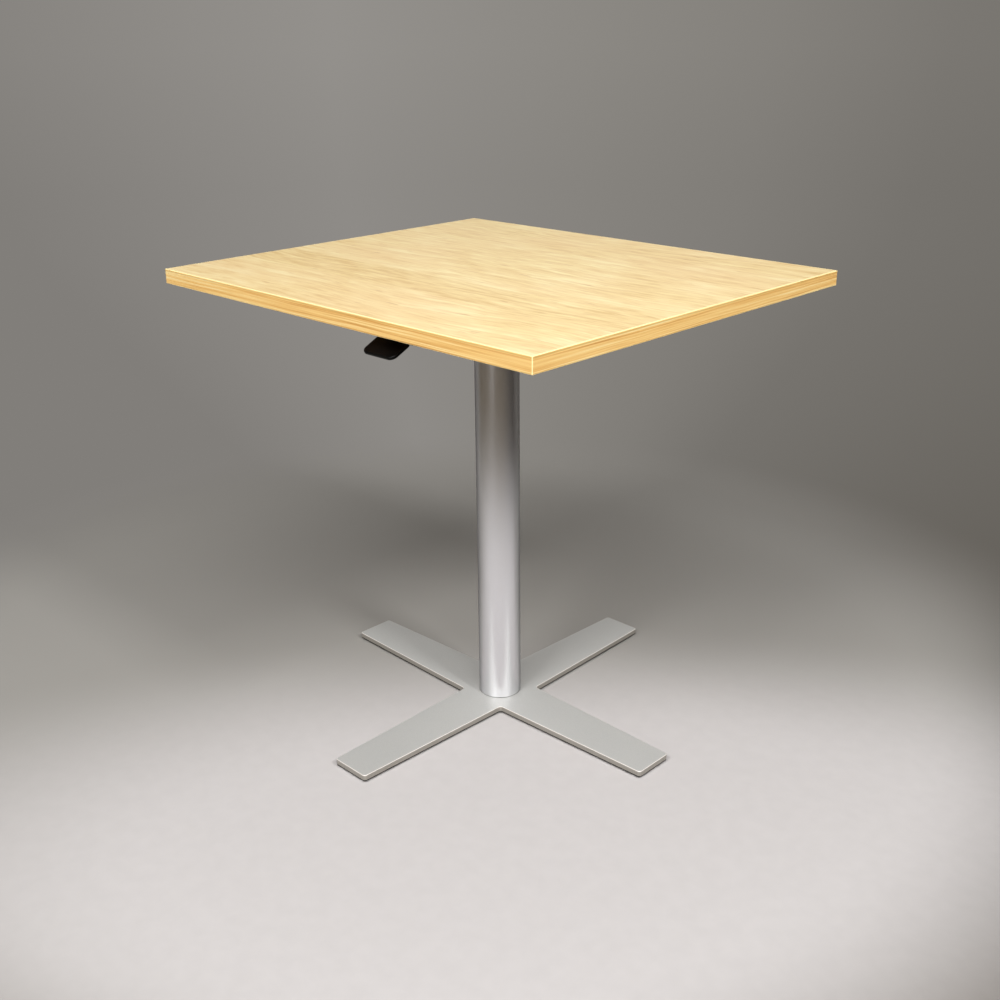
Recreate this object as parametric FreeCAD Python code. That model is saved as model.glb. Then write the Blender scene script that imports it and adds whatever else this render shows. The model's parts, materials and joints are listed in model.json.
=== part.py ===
import FreeCAD, Part
import math
import os
from FreeCAD import Vector

# Telescoping pedestal table: a rectangular laminated top on a two-stage round column that a
# lockable gas spring lifts, standing on a flat X-shaped base plate.
#
# Millimetres. The origin is on the floor, on the column's axis. +Z is up, X runs along the
# top's long edges, and the release paddle is on the -Y side, where the user stands.
# The table is modelled at its lowest height, with the paddle released.

# ---------------------------------------------------------------- the table as a whole
TABLE_HEIGHT = 729.0  # floor to the top's surface, column fully down
LIFT_STROKE = 400.0  # rise from the lowest to the highest table height

# ---------------------------------------------------------------- clearances, per side
SEAT_FIT = 0.05  # pressed, bonded or threaded pieces
RUNNING_FIT = 0.1  # round pieces that slide or turn in each other
FLAT_FIT = 0.2  # flat sides of sliding pieces

# ---------------------------------------------------------------- table top
TOP_WIDTH = 762.0  # along X
TOP_DEPTH = 660.4  # along Y
CORE_THICKNESS = 21.0
LAMINATE_THICKNESS = 0.8
BACKER_THICKNESS = 0.8
EDGE_BAND_THICKNESS = 2.0
EDGE_ROUND = 1.5  # rounding of the banded edges and corners

# ---------------------------------------------------------------- base plate
BASE_SPAN = 660.0  # from arm end to opposite arm end
ARM_ROOT_WIDTH = 86.0
ARM_END_WIDTH = 69.5
ARM_CORNER_RADIUS = 5.0
CROTCH_RADIUS = 5.3
PLATE_THICKNESS = 11.0
PLATE_EDGE_ROUND = 1.2

# ---------------------------------------------------------------- levelling glides
GLIDE_INSET = 30.0  # glide axis from the arm's end
GLIDE_PAD_DIAMETER = 28.0
GLIDE_PAD_THICKNESS = 2.0
GLIDE_PAD_CHAMFER = 0.5
GLIDE_SEAT_GAP = 0.2  # pad to plate with the glide screwed right in
GLIDE_STEM_DIAMETER = 8.0
GLIDE_HEAD_DIAMETER = 14.0
GLIDE_HEAD_THICKNESS = 1.2
GLIDE_HOLE_SKIN = 2.0  # plate left above the blind glide holes
GLIDE_TIP_GAP = 0.8

# ---------------------------------------------------------------- column tubes and guides
OUTER_TUBE_DIAMETER = 69.85
OUTER_TUBE_WALL = 2.0
TUBE_END_CHAMFER = 0.8
INNER_TUBE_WALL = 4.0
BUSHING_LENGTH = 60.0
BUSHING_WALL = 2.8
BUSHING_FLANGE = 3.0
KEY_WIDTH = 6.0
KEY_LENGTH = 40.0
KEY_DROP = 10.0  # key's upper end below the outer tube's rim
GROOVE_DEPTH = 2.2
STOP_RING_THICKNESS = 2.2
STOP_RING_INSET = 1.0  # ring's rim inside the bushing flange's rim
STOP_RING_PLAY = 0.8  # ring's bore round the inner tube
STOP_GAP = 0.2
SLIDE_RING_LENGTH = 50.0
SLIDE_RING_LIP = 2.0
SLIDE_RING_FLOOR_GAP = 10.0  # slide ring above the foot plug, column fully down

# ---------------------------------------------------------------- foot plug and its screws
PLUG_HEIGHT = 14.0
PLUG_BOLT_INSET = 11.0  # bolt circle inside the plug's rim
COLUMN_SCREW_COUNT = 4
COLUMN_SCREW_DIAMETER = 8.0
COLUMN_SCREW_HEAD = 16.0
COLUMN_SCREW_SOCKET = 5.0
COLUMN_SCREW_SOCKET_DEPTH = 2.6
COLUMN_SCREW_RECESS = 0.5
COLUMN_SCREW_TIP_GAP = 2.0
CLEARANCE_HOLE_PLAY = 0.5  # free hole round a screw's shank

# ---------------------------------------------------------------- gas spring
CYLINDER_DIAMETER = 28.0
CYLINDER_WALL = 1.5
CYLINDER_COLLAR = 3.0
CYLINDER_PLUG_LENGTH = 10.0
CYLINDER_LIP = 2.0  # rolled lip that holds the rod guide
STUD_DIAMETER = 10.0
STUD_LENGTH = 12.0
PISTON_LENGTH = 20.0
PISTON_SEAL_RISE = 5.0  # middle of the seal above the piston's lower end
ROD_SOCKET_DEPTH = 10.0  # rod's end inside the piston
PISTON_END_GAP = 8.0
ROD_GUIDE_LENGTH = 18.0
ROD_DIAMETER = 12.0
RELEASE_PIN_DIAMETER = 4.0
PIN_PROTRUSION = 5.0  # release pin above the rod's end
VALVE_HEAD_DIAMETER = 8.0
VALVE_HEAD_THICKNESS = 3.0
SEAL_SECTION = 2.4
SEAL_HEIGHT = 3.0
NUT_WIDTH = 19.0
NUT_HEIGHT = 7.0

# ---------------------------------------------------------------- head hub
SOCKET_DEPTH = 12.0
SOCKET_WALL = 8.0
WEB_THICKNESS = 10.0
SPIGOT_DEPTH = 30.0
SPIGOT_WALL = 6.0
MECHANISM_BORE = 40.0
CAVITY_HEADROOM = 0.65
HUB_FLANGE_SIZE = 120.0
HUB_FLANGE_THICKNESS = 8.0
HUB_FLANGE_CORNER = 12.0
HUB_WELD_LEG = 4.0
HUB_SCREW_INSET = 15.0
HUB_SCREW_DIAMETER = 6.0
HUB_SCREW_HEAD = 10.0
HUB_SCREW_HEAD_HEIGHT = 6.0
HUB_SCREW_SOCKET = 5.0
HUB_SCREW_SOCKET_DEPTH = 3.0
HUB_SCREW_TIP_GAP = 1.0
SET_SCREW_COUNT = 3
SET_SCREW_DIAMETER = 6.0
SET_SCREW_SOCKET = 3.0
SET_SCREW_SOCKET_DEPTH = 2.5
SET_SCREW_RECESS = 0.5

# ---------------------------------------------------------------- mounting plate
MOUNT_PLATE_SIZE = 250.0
MOUNT_PLATE_THICKNESS = 6.0
MOUNT_PLATE_CORNER = 20.0
MOUNT_SCREW_INSET = 20.0
MOUNT_SCREW_ROWS = 4
MOUNT_SCREW_DIAMETER = 5.0
MOUNT_SCREW_HEAD = 10.0
MOUNT_SCREW_HEAD_HEIGHT = 3.0
MOUNT_SCREW_BITE = 15.0
PILOT_TIP_GAP = 0.5

# ---------------------------------------------------------------- forms shared by the wood screws
PAN_ROUND_SHARE = 0.6  # rounding of a pan head as a share of its height
POINT_BLUNTNESS = 0.1  # radius of a screw's point as a share of its shank's
CROSS_RECESS_SPAN = 0.5  # share of the head's diameter
CROSS_RECESS_DEPTH = 0.5  # share of the head's height
CROSS_RECESS_SLOT = 1.0

# ---------------------------------------------------------------- release rocker in the hub
ROCKER_NOSE_ARM = 8.0
ROCKER_NOSE_RADIUS = 3.0
NOSE_GAP = 0.15
ROCKER_CABLE_ARM = 12.0
ROCKER_HUB_DIAMETER = 11.0
ROCKER_HUB_LENGTH = 28.0
ROCKER_PIN_DIAMETER = 5.0
ROCKER_PIN_INSET = 1.0  # pin ends below the hub's skin

# ---------------------------------------------------------------- cable
SHEATH_DIAMETER = 5.0
SHEATH_BORE = 2.0
WIRE_DIAMETER = 1.6
WIRE_ENGAGEMENT = 10.0  # wire end inside the sheath, paddle released
NIPPLE_DIAMETER = 6.0
NIPPLE_LENGTH = 8.0
NIPPLE_PLAY = 0.3
NIPPLE_SLIDE = 1.2  # how far a nipple shifts along its eye as the lever turns
EYE_WALL = 1.4
EYE_WIDTH = 10.0
WIRE_SLOT_WIDTH = 2.6
WIRE_SLOT_DROP = 2.4  # eye slot below the wire, so that the lever turns freely
FERRULE_DIAMETER = 7.0
FERRULE_LENGTH = 12.0
FERRULE_END = 1.5
ARC_SHARE = 0.45  # share of a run that its corner's arc takes up

# ---------------------------------------------------------------- release paddle
LEVER_OFFSET = 102.0  # paddle's middle from the column's axis, along X
LEVER_SETBACK = 50.0  # pivot behind the top's front edge
LEVER_PIVOT_DROP = 8.4  # pivot below the top
LEVER_CABLE_ARM = 14.0
LEVER_HUB_DIAMETER = 12.0
LEVER_HUB_LENGTH = 40.0
LEVER_PIN_DIAMETER = 6.0
PADDLE_LENGTH = 47.5
PADDLE_WIDTH = 61.5
PADDLE_THICKNESS = 5.0
PADDLE_SLOPE = 25.5  # degrees below level, released
PADDLE_NECK = 12.0
PADDLE_CORNER = 10.0
PADDLE_SHOULDER = 5.0
PADDLE_NECK_FILLET = 2.0
PADDLE_EDGE_ROUND = 1.8

# ---------------------------------------------------------------- lever bracket
BRACKET_SHEET = 2.5
BRACKET_SIDE_GAP = 0.3
BRACKET_REACH = 8.0  # cheek in front of and below the pivot
BRACKET_WALL_DISTANCE = 30.0  # rear face behind the pivot
BRACKET_WALL_DROP = 6.0  # lower edge below the cable
BRACKET_CHEEK_FOOT = 4.0
BRACKET_FLANGE = 20.0
BRACKET_CORNER = 4.0
BRACKET_SCREW_INSET = 7.0
BRACKET_SCREW_OFFSET = 12.0
BRACKET_SCREW_DIAMETER = 4.0
BRACKET_SCREW_HEAD = 8.0
BRACKET_SCREW_HEAD_HEIGHT = 2.6
BRACKET_SCREW_BITE = 14.0
LEVER_PIN_OVERHANG = 4.2
CLIP_RING_GAP = 0.3
CLIP_RING_THICKNESS = 1.0
CLIP_RING_RADIUS = 5.5
CLIP_RING_GROOVE = 0.5  # depth of the pin's grooves
CLIP_RING_MOUTH = 3.6

# ---------------------------------------------------------------- cable clip
CLIP_WIDTH = 8.0
CLIP_WALL = 2.2
CLIP_PAD_THICKNESS = 3.0
CLIP_PAD_LENGTH = 16.0
CLIP_SCREW_OFFSET = 11.0
CLIP_SCREW_DIAMETER = 3.5
CLIP_SCREW_HEAD = 7.0
CLIP_SCREW_HEAD_HEIGHT = 2.4
CLIP_SCREW_BITE = 12.0

CUT = 1.0  # overrun of a cutting tool past the face it leaves by
SAME = 0.01  # measures closer than this are taken as equal

# ---------------------------------------------------------------- levels, from the floor up
plate_bottom = GLIDE_PAD_THICKNESS + GLIDE_SEAT_GAP
plate_top = plate_bottom + PLATE_THICKNESS
plug_top = plate_top + PLUG_HEIGHT
slide_ring_bottom = plug_top + SLIDE_RING_FLOOR_GAP
inner_tube_bottom = slide_ring_bottom + SLIDE_RING_LIP
cylinder_bottom = plug_top + CYLINDER_COLLAR
piston_bottom = cylinder_bottom + CYLINDER_PLUG_LENGTH + PISTON_END_GAP
piston_top = piston_bottom + PISTON_LENGTH
rod_guide_bottom = piston_top + LIFT_STROKE + PISTON_END_GAP
rod_guide_top = rod_guide_bottom + ROD_GUIDE_LENGTH
cylinder_top = rod_guide_top + CYLINDER_LIP

# ---------------------------------------------------------------- levels, from the top down
laminate_bottom = TABLE_HEIGHT - LAMINATE_THICKNESS
core_bottom = laminate_bottom - CORE_THICKNESS
top_underside = core_bottom - BACKER_THICKNESS
mount_underside = top_underside - MOUNT_PLATE_THICKNESS
hub_flange_bottom = mount_underside - HUB_FLANGE_THICKNESS
nipple_radius = NIPPLE_DIAMETER / 2
eye_radius = nipple_radius + NIPPLE_PLAY + EYE_WALL
rear_cable_z = mount_underside - CAVITY_HEADROOM - eye_radius - NIPPLE_SLIDE
rocker_z = rear_cable_z - ROCKER_CABLE_ARM
release_pin_top = rocker_z - ROCKER_NOSE_RADIUS - NOSE_GAP
web_top = release_pin_top - PIN_PROTRUSION
web_bottom = web_top - WEB_THICKNESS
hub_bottom = web_bottom - SOCKET_DEPTH
stop_ring_top = hub_bottom - STOP_GAP
bushing_top = stop_ring_top - STOP_RING_THICKNESS
outer_tube_top = bushing_top - BUSHING_FLANGE
key_top = outer_tube_top - KEY_DROP
key_bottom = key_top - KEY_LENGTH

# ---------------------------------------------------------------- radii, from the outside in
outer_tube_radius = OUTER_TUBE_DIAMETER / 2
outer_tube_bore = outer_tube_radius - OUTER_TUBE_WALL
plug_radius = outer_tube_bore - SEAT_FIT
bolt_circle_radius = plug_radius - PLUG_BOLT_INSET
bushing_radius = outer_tube_bore - SEAT_FIT
bushing_bore = bushing_radius - BUSHING_WALL
inner_tube_radius = bushing_bore - RUNNING_FIT
inner_tube_bore = inner_tube_radius - INNER_TUBE_WALL
groove_floor = inner_tube_radius - GROOVE_DEPTH
cylinder_radius = CYLINDER_DIAMETER / 2
cylinder_bore = cylinder_radius - CYLINDER_WALL
rod_radius = ROD_DIAMETER / 2
release_pin_radius = RELEASE_PIN_DIAMETER / 2
hub_radius = inner_tube_radius + SOCKET_WALL
spigot_radius = inner_tube_bore - SEAT_FIT
mechanism_radius = MECHANISM_BORE / 2
sheath_radius = SHEATH_DIAMETER / 2
ferrule_radius = FERRULE_DIAMETER / 2

# ---------------------------------------------------------------- paddle, bracket and cable ends
lever_y = -TOP_DEPTH / 2 + LEVER_SETBACK
lever_z = top_underside - LEVER_PIVOT_DROP
front_cable_z = lever_z - LEVER_CABLE_ARM
bracket_inside = LEVER_HUB_LENGTH / 2 + BRACKET_SIDE_GAP
bracket_outside = bracket_inside + BRACKET_SHEET
bracket_front = lever_y - BRACKET_REACH
bracket_rear = lever_y + BRACKET_WALL_DISTANCE
bracket_wall_front = bracket_rear - BRACKET_SHEET
clip_ring_start = bracket_outside + CLIP_RING_GAP
rocker_pivot_y = ROCKER_NOSE_ARM

REAR_EXIT = Vector(0, -hub_radius - FERRULE_END, rear_cable_z)
FRONT_EXIT = Vector(LEVER_OFFSET, bracket_rear + FERRULE_END, front_cable_z)
CABLE_ROUTE = [
    REAR_EXIT,
    REAR_EXIT + Vector(0, -48, 0),
    REAR_EXIT + Vector(28, -94, 2.5),
    FRONT_EXIT + Vector(-32, 76, 13),
    FRONT_EXIT + Vector(0, 37, 0),
    FRONT_EXIT,
]
CLIP_RUN = (CABLE_ROUTE[2], CABLE_ROUTE[3])


# ================================================================ basic forms
def unit(vector):
    return vector * (1.0 / vector.Length)


def cylinder(radius, bottom, top, x=0.0, y=0.0):
    return Part.makeCylinder(radius, top - bottom, Vector(x, y, bottom))


def cylinder_x(radius, start, end, y, z):
    return Part.makeCylinder(radius, end - start, Vector(start, y, z), Vector(1, 0, 0))


def cylinder_y(radius, start, end, x, z):
    return Part.makeCylinder(radius, end - start, Vector(x, start, z), Vector(0, 1, 0))


def ring(radius, bore, bottom, top):
    return cylinder(radius, bottom, top).cut(cylinder(bore, bottom - CUT, top + CUT))


def block(low, high):
    size = high - low
    return Part.makeBox(size.x, size.y, size.z, low)


def rounded_outline(corners):
    """Closed wire in the XY plane through corners given as (x, y, rounding radius)."""
    stops = []
    for index, (x, y, radius) in enumerate(corners):
        here = Vector(x, y, 0)
        before = Vector(corners[index - 1][0], corners[index - 1][1], 0)
        following = corners[(index + 1) % len(corners)]
        after = Vector(following[0], following[1], 0)
        if radius == 0:
            stops.append((here, here, here))
            continue
        back = unit(before - here)
        ahead = unit(after - here)
        half_angle = back.getAngle(ahead) / 2
        reach = radius / math.tan(half_angle)
        middle = here + unit(back + ahead) * (radius / math.sin(half_angle) - radius)
        stops.append((here + back * reach, middle, here + ahead * reach))
    edges = []
    for index, (start, middle, end) in enumerate(stops):
        edges.append(Part.makeLine(stops[index - 1][2], start))
        if start != end:
            edges.append(Part.Arc(start, middle, end).toShape())
    return Part.Wire(edges)


def prism(corners, bottom, top):
    """Upright prism over a rounded outline."""
    solid = Part.Face(rounded_outline(corners)).extrude(Vector(0, 0, top - bottom))
    solid.translate(Vector(0, 0, bottom))
    return solid


def prism_x(corners, start, end):
    """Prism along X over an outline given in (y, z, rounding radius)."""
    solid = prism(corners, start, end)
    solid.rotate(Vector(0, 0, 0), Vector(1, 1, 1), 120)
    return solid


def rectangle(width, depth, corner_radius):
    half_x = width / 2
    half_y = depth / 2
    signs = ((-1, -1), (1, -1), (1, 1), (-1, 1))
    return [(sx * half_x, sy * half_y, corner_radius) for sx, sy in signs]


def hexagon(width, bottom, top):
    """Hexagonal prism measured across its flats."""
    reach = width / math.sqrt(3)
    corners = []
    for index in range(6):
        angle = math.radians(60 * index)
        corners.append((reach * math.cos(angle), reach * math.sin(angle), 0))
    return prism(corners, bottom, top)


def edges_at(solid, level):
    """Edges that lie in the horizontal plane at one level."""
    found = []
    for edge in solid.Edges:
        box = edge.BoundBox
        if abs(box.ZMin - level) < SAME and abs(box.ZMax - level) < SAME:
            found.append(edge)
    return found


def polar_spots(count, radius, first_angle):
    spots = []
    for index in range(count):
        angle = math.radians(first_angle + 360.0 * index / count)
        spots.append((radius * math.cos(angle), radius * math.sin(angle)))
    return spots


def copies(solid, spots, level):
    """The same solid at each spot, as one group of separate solids."""
    group = []
    for x, y in spots:
        copy = solid.copy()
        copy.translate(Vector(x, y, level))
        group.append(copy)
    return Part.makeCompound(group)


# ================================================================ screws
def countersunk_screw(diameter, head_diameter, length, socket, socket_depth):
    """Screw with its flat head's face at z = 0 and its shank pointing up."""
    radius = diameter / 2
    head_radius = head_diameter / 2
    head = Part.makeCone(head_radius, radius, head_radius - radius)
    screw = head.fuse(cylinder(radius, 0, length))
    return screw.cut(hexagon(socket, -CUT, socket_depth))


def cap_screw(diameter, head_diameter, head_height, length, socket, socket_depth):
    """Cylinder-head screw with its head below z = 0 and its shank pointing up."""
    head = cylinder(head_diameter / 2, -head_height, 0)
    screw = head.fuse(cylinder(diameter / 2, 0, length))
    return screw.cut(hexagon(socket, -head_height - CUT, -head_height + socket_depth))


def wood_screw(diameter, head_diameter, head_height, length):
    """Pan-head wood screw, head below z = 0, shank up to a point, cross recess."""
    radius = diameter / 2
    head = cylinder(head_diameter / 2, -head_height, 0)
    head = head.makeFillet(head_height * PAN_ROUND_SHARE, edges_at(head, -head_height))
    shank = cylinder(radius, 0, length - diameter)
    tip_radius = radius * POINT_BLUNTNESS
    point = Part.makeCone(radius, tip_radius, diameter, Vector(0, 0, length - diameter))
    screw = head.fuse([shank, point])
    reach = head_diameter / 2 * CROSS_RECESS_SPAN
    slot = CROSS_RECESS_SLOT / 2
    floor = head_height * (CROSS_RECESS_DEPTH - 1)
    along = block(Vector(-reach, -slot, -head_height - CUT), Vector(reach, slot, floor))
    across = block(Vector(-slot, -reach, -head_height - CUT), Vector(slot, reach, floor))
    return screw.cut([along, across])


def wood_screw_groups():
    """Every screw driven up into the top: spots, diameter and bite."""
    return (
        (mount_screw_spots(), MOUNT_SCREW_DIAMETER, MOUNT_SCREW_BITE),
        (bracket_screw_spots(), BRACKET_SCREW_DIAMETER, BRACKET_SCREW_BITE),
        ([clip_screw_spot()], CLIP_SCREW_DIAMETER, CLIP_SCREW_BITE),
    )


# ================================================================ base
def arm_corners():
    """Outline of the cross: two end corners and one crotch for each arm."""
    half_span = BASE_SPAN / 2
    half_end = ARM_END_WIDTH / 2
    half_root = ARM_ROOT_WIDTH / 2
    corners = []
    for quarter in range(4):
        cos = (1, 0, -1, 0)[quarter]
        sin = (0, 1, 0, -1)[quarter]
        for x, y, radius in (
            (half_span, -half_end, ARM_CORNER_RADIUS),
            (half_span, half_end, ARM_CORNER_RADIUS),
            (half_root, half_root, CROTCH_RADIUS),
        ):
            corners.append((x * cos - y * sin, x * sin + y * cos, radius))
    return corners


def glide_spots():
    reach = BASE_SPAN / 2 - GLIDE_INSET
    return {"right": (reach, 0), "rear": (0, reach), "left": (-reach, 0), "front": (0, -reach)}


def column_screw_spots():
    return polar_spots(COLUMN_SCREW_COUNT, bolt_circle_radius, 45)


def base_plate():
    plate = prism(arm_corners(), plate_bottom, plate_top)
    rims = edges_at(plate, plate_bottom) + edges_at(plate, plate_top)
    plate = plate.makeFillet(PLATE_EDGE_ROUND, rims)
    tools = []
    hole_radius = GLIDE_STEM_DIAMETER / 2 + RUNNING_FIT
    for x, y in glide_spots().values():
        tools.append(cylinder(hole_radius, plate_bottom - CUT, plate_top - GLIDE_HOLE_SKIN, x, y))
    free_radius = COLUMN_SCREW_DIAMETER / 2 + CLEARANCE_HOLE_PLAY
    head_radius = COLUMN_SCREW_HEAD / 2 + SEAT_FIT
    head_level = plate_bottom + COLUMN_SCREW_RECESS
    for x, y in column_screw_spots():
        tools.append(cylinder(free_radius, plate_bottom - CUT, plate_top + CUT, x, y))
        tools.append(cylinder(head_radius, plate_bottom - CUT, head_level, x, y))
        depth = head_radius - free_radius
        tools.append(Part.makeCone(head_radius, free_radius, depth, Vector(x, y, head_level)))
    return plate.cut(tools)


def glide_pad(x, y):
    pad = cylinder(GLIDE_PAD_DIAMETER / 2, 0, GLIDE_PAD_THICKNESS, x, y)
    pad = pad.makeChamfer(GLIDE_PAD_CHAMFER, edges_at(pad, 0))
    recess_radius = GLIDE_HEAD_DIAMETER / 2 + SEAT_FIT
    recess_floor = GLIDE_PAD_THICKNESS - GLIDE_HEAD_THICKNESS
    return pad.cut(cylinder(recess_radius, recess_floor, GLIDE_PAD_THICKNESS + CUT, x, y))


def glide_stem(x, y):
    head_bottom = GLIDE_PAD_THICKNESS - GLIDE_HEAD_THICKNESS
    head = cylinder(GLIDE_HEAD_DIAMETER / 2, head_bottom, GLIDE_PAD_THICKNESS, x, y)
    tip = plate_top - GLIDE_HOLE_SKIN - GLIDE_TIP_GAP
    return head.fuse(cylinder(GLIDE_STEM_DIAMETER / 2, GLIDE_PAD_THICKNESS, tip, x, y))


def tube_foot_plug():
    plug = cylinder(plug_radius, plate_top, plug_top)
    tools = [cylinder(STUD_DIAMETER / 2 + SEAT_FIT, plate_top - CUT, plug_top + CUT)]
    for x, y in column_screw_spots():
        radius = COLUMN_SCREW_DIAMETER / 2 + SEAT_FIT
        tools.append(cylinder(radius, plate_top - CUT, plug_top + CUT, x, y))
    return plug.cut(tools)


def column_screws():
    level = plate_bottom + COLUMN_SCREW_RECESS
    length = plug_top - COLUMN_SCREW_TIP_GAP - level
    screw = countersunk_screw(
        COLUMN_SCREW_DIAMETER, COLUMN_SCREW_HEAD, length,
        COLUMN_SCREW_SOCKET, COLUMN_SCREW_SOCKET_DEPTH)
    return copies(screw, column_screw_spots(), level)


# ================================================================ column
def outer_tube():
    tube = ring(outer_tube_radius, outer_tube_bore, plate_top, outer_tube_top)
    rims = []
    for level in (plate_top, outer_tube_top):
        for edge in edges_at(tube, level):
            if edge.BoundBox.XLength > outer_tube_radius + outer_tube_bore:
                rims.append(edge)
    return tube.makeChamfer(TUBE_END_CHAMFER, rims)


def upper_guide_bushing():
    sleeve = ring(bushing_radius, bushing_bore, outer_tube_top - BUSHING_LENGTH, outer_tube_top)
    flange = ring(outer_tube_radius, bushing_bore, outer_tube_top, bushing_top)
    half_width = KEY_WIDTH / 2 + SEAT_FIT
    window = block(
        Vector(-half_width, 0, key_bottom - SEAT_FIT),
        Vector(half_width, outer_tube_radius, key_top + SEAT_FIT))
    return sleeve.fuse(flange).removeSplitter().cut(window)


def anti_rotation_key():
    """Bar held in the bushing's window, with its inner side in the inner tube's groove."""
    half_width = KEY_WIDTH / 2
    outer_side = math.sqrt(outer_tube_bore**2 - half_width**2) - SEAT_FIT
    inner_side = groove_floor + FLAT_FIT
    return block(
        Vector(-half_width, inner_side, key_bottom),
        Vector(half_width, outer_side, key_top))


def stop_ring():
    radius = outer_tube_radius - STOP_RING_INSET
    return ring(radius, inner_tube_radius + STOP_RING_PLAY, bushing_top, stop_ring_top)


def inner_tube():
    tube = ring(inner_tube_radius, inner_tube_bore, inner_tube_bottom, web_bottom)
    half_width = KEY_WIDTH / 2 + FLAT_FIT
    groove = block(
        Vector(-half_width, groove_floor, inner_tube_bottom - CUT),
        Vector(half_width, outer_tube_radius, web_bottom + CUT))
    return tube.cut(groove)


def lower_slide_ring():
    """Sleeve round the inner tube's lower end, with a lip under the tube's rim."""
    radius = outer_tube_bore - RUNNING_FIT
    top = inner_tube_bottom + SLIDE_RING_LENGTH
    sleeve = ring(radius, inner_tube_radius + SEAT_FIT, inner_tube_bottom, top)
    lip = ring(radius, inner_tube_bore, slide_ring_bottom, inner_tube_bottom)
    return sleeve.fuse(lip).removeSplitter()


# ================================================================ gas spring
def gas_cylinder():
    tube = ring(cylinder_radius, cylinder_bore, cylinder_bottom, rod_guide_top)
    lip_bore = cylinder_bore - CYLINDER_WALL
    lip = ring(cylinder_radius, lip_bore, rod_guide_top, cylinder_top)
    return tube.fuse(lip).removeSplitter()


def gas_cylinder_base():
    stud = cylinder(STUD_DIAMETER / 2, plug_top - STUD_LENGTH, plug_top)
    collar = cylinder(cylinder_radius, plug_top, cylinder_bottom)
    inside = cylinder_bottom + CYLINDER_PLUG_LENGTH
    plug = cylinder(cylinder_bore - SEAT_FIT, cylinder_bottom, inside)
    return stud.fuse([collar, plug])


def gas_rod_guide():
    guide = ring(cylinder_bore - SEAT_FIT, rod_radius + RUNNING_FIT, rod_guide_bottom, rod_guide_top)
    seat_radius = rod_radius + SEAL_SECTION + SEAT_FIT
    seat = cylinder(seat_radius, rod_guide_bottom - CUT, rod_guide_bottom + SEAL_HEIGHT)
    return guide.cut(seat)


def gas_rod_seal():
    radius = rod_radius + SEAL_SECTION
    top = rod_guide_bottom + SEAL_HEIGHT
    return ring(radius, rod_radius + RUNNING_FIT, rod_guide_bottom, top)


def gas_piston():
    """Piston on the rod's end, with a ring groove in its side."""
    piston = cylinder(cylinder_bore - RUNNING_FIT, piston_bottom, piston_top)
    pin_hole = cylinder(release_pin_radius + RUNNING_FIT, piston_bottom - CUT, piston_top + CUT)
    rod_hole = cylinder(rod_radius + SEAT_FIT, piston_top - ROD_SOCKET_DEPTH, piston_top + CUT)
    seal_bottom, seal_top = piston_seal_levels()
    groove = ring(cylinder_radius, piston_groove_floor(), seal_bottom, seal_top)
    return piston.cut([pin_hole, rod_hole, groove])


def piston_seal_levels():
    middle = piston_bottom + PISTON_SEAL_RISE
    return middle - SEAL_HEIGHT / 2, middle + SEAL_HEIGHT / 2


def piston_groove_floor():
    return cylinder_bore - RUNNING_FIT - SEAL_SECTION


def gas_piston_seal():
    seal_bottom, seal_top = piston_seal_levels()
    bore = piston_groove_floor() + SEAT_FIT
    return ring(cylinder_bore - RUNNING_FIT, bore, seal_bottom + SEAT_FIT, seal_top - SEAT_FIT)


def gas_rod():
    bore = release_pin_radius + RUNNING_FIT
    return ring(rod_radius, bore, piston_top - ROD_SOCKET_DEPTH, web_top)


def rod_lock_nut():
    nut = hexagon(NUT_WIDTH, web_bottom - NUT_HEIGHT, web_bottom)
    bore = cylinder(rod_radius + SEAT_FIT, web_bottom - NUT_HEIGHT - CUT, web_bottom + CUT)
    return nut.cut(bore)


def release_pin():
    """Pin down the hollow rod; its valve head closes the port under the piston."""
    seat = piston_bottom - NOSE_GAP
    head = cylinder(VALVE_HEAD_DIAMETER / 2, seat - VALVE_HEAD_THICKNESS, seat)
    return head.fuse(cylinder(release_pin_radius, seat, release_pin_top))


# ================================================================ head hub
def hub_screw_spots():
    reach = HUB_FLANGE_SIZE / 2 - HUB_SCREW_INSET
    return [(sx * reach, sy * reach) for sx in (-1, 1) for sy in (-1, 1)]


def set_screw_level():
    return hub_bottom + SOCKET_DEPTH / 2


def cable_slots():
    """Ferrule seat through the flange, and the narrower wire slot into the cavity."""
    half_seat = ferrule_radius + SEAT_FIT
    flange_edge = -HUB_FLANGE_SIZE / 2 - CUT
    above = mount_underside + CUT
    seat = block(
        Vector(-half_seat, flange_edge, rear_cable_z - half_seat),
        Vector(half_seat, -hub_radius, above))
    half_wire = WIRE_SLOT_WIDTH / 2
    wire = block(
        Vector(-half_wire, -hub_radius - CUT, rear_cable_z - half_wire),
        Vector(half_wire, 0, above))
    return [seat, wire]


def hub_flange():
    """Square plate welded round the boss's upper end, bolted to the mounting plate."""
    outline = rectangle(HUB_FLANGE_SIZE, HUB_FLANGE_SIZE, HUB_FLANGE_CORNER)
    flange = prism(outline, hub_flange_bottom, mount_underside)
    low = hub_flange_bottom - CUT
    high = mount_underside + CUT
    tools = [cylinder(hub_radius + SEAT_FIT, low, high)]
    for x, y in hub_screw_spots():
        tools.append(cylinder(HUB_SCREW_DIAMETER / 2 + CLEARANCE_HOLE_PLAY, low, high, x, y))
    return flange.cut(tools + cable_slots())


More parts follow.
